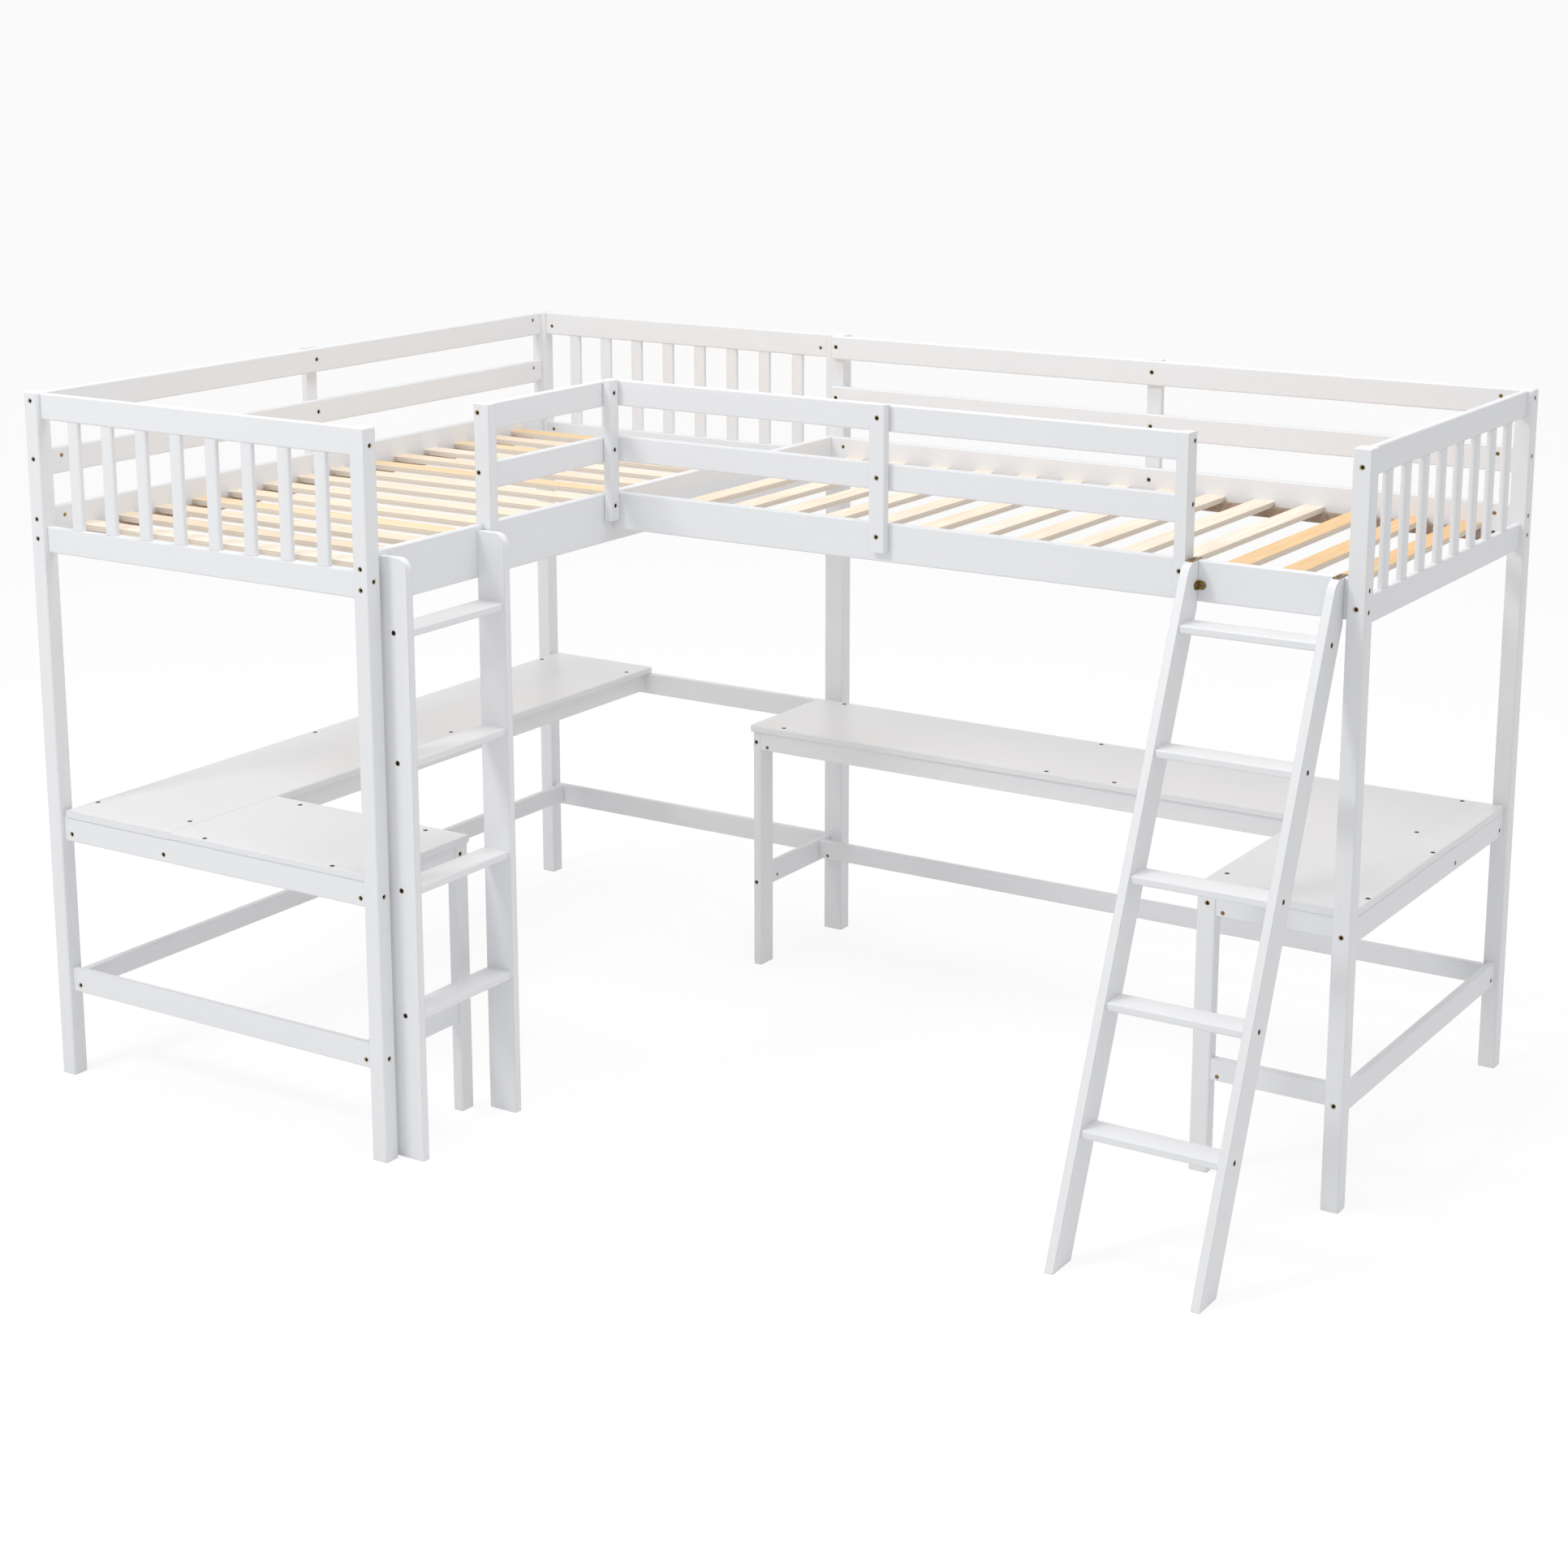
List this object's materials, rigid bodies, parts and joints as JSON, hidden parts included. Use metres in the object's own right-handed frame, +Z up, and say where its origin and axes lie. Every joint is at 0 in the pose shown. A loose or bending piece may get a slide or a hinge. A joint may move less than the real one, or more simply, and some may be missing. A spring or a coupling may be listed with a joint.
{
  "type": "l-shaped loft bed",
  "caption": "L-shaped corner loft bed: high single beds meet at a shared post, with L-shaped desks below, an upright ladder and a hook-on slanted ladder.",
  "frame": {"origin": "on the floor, under the middle of the object's bounding box", "axes": "+X runs right along the back wall as seen from the front, +Y runs back to the wall, +Z is up; the left bed runs along Y and the right bed along X"},
  "size_m": [2.992, 2.007, 1.7],
  "materials": {
    "white_pine": "satin white paint",
    "white_board": "white laminate",
    "slat_wood": "planed, bare",
    "cleat_wood": "sawn, bare",
    "brass": "bright zinc-brass plating",
    "dark_steel": "dark plating"
  },
  "bodies": {
    "frame": {"barrel_nuts": "brass", "connector_bolts": "brass", "corner_upright": "white_pine", "left_bed_foot_low_rails": "white_pine", "left_bed_foot_panel_rails": "white_pine", "left_bed_foot_spindles": "white_pine", "left_bed_front_left_post": "white_pine", "left_bed_front_right_post": "white_pine", "left_bed_head_low_rails": "white_pine", "left_bed_head_panel_rails": "white_pine", "left_bed_head_spindles": "white_pine", "left_bed_inner_guard_rails": "white_pine", "left_bed_inner_wide_rail": "white_pine", "left_bed_outer_batten": "white_pine", "left_bed_outer_guard_rails": "white_pine", "left_bed_outer_wide_rail": "white_pine", "left_bed_rear_left_post": "white_pine", "left_bed_slats": "slat_wood", "left_desk_leg": "white_pine", "left_desk_leg_rails": "white_pine", "left_desk_long_aprons": "white_pine", "left_desk_long_board": "white_board", "left_desk_rear_apron": "white_pine", "left_desk_short_board": "white_board", "left_desk_side_stretcher": "white_pine", "left_guard_front_upright": "white_pine", "right_bed_back_batten": "white_pine", "right_bed_back_guard_rails": "white_pine", "right_bed_back_wide_rail": "white_pine", "right_bed_end_low_rails": "white_pine", "right_bed_end_panel_rails": "white_pine", "right_bed_end_spindles": "white_pine", "right_bed_front_guard_rails": "white_pine", "right_bed_front_post": "white_pine", "right_bed_front_wide_rail": "white_pine", "right_bed_rear_post": "white_pine", "right_bed_slats": "slat_wood", "right_desk_back_stretcher": "white_pine", "right_desk_left_board": "white_board", "right_desk_long_aprons": "white_pine", "right_desk_return_apron": "white_pine", "right_desk_return_board": "white_board", "right_desk_return_front_rails": "white_pine", "right_desk_return_leg": "white_pine", "right_desk_right_board": "white_board", "right_desk_wall_leg": "white_pine", "right_desk_wall_leg_rails": "white_pine", "right_guard_end_upright": "white_pine", "right_guard_middle_upright": "white_pine", "shared_rear_post": "white_pine", "slat_cleats": "cleat_wood", "vertical_ladder_stringers": "white_pine", "vertical_ladder_treads": "white_pine", "wood_screws": "dark_steel"},
    "slanted_ladder": {"slanted_ladder_brackets": "brass", "slanted_ladder_hooks": "brass", "slanted_ladder_left_stringer": "white_pine", "slanted_ladder_right_stringer": "white_pine", "slanted_ladder_screws": "dark_steel", "slanted_ladder_treads": "white_pine"}
  },
  "joints": [
    {"name": "slanted_ladder_lift", "type": "slide", "parent": "frame", "child": "slanted_ladder", "axis": [0, 0, 1], "range_m": [0, 0.25]}
  ]
}
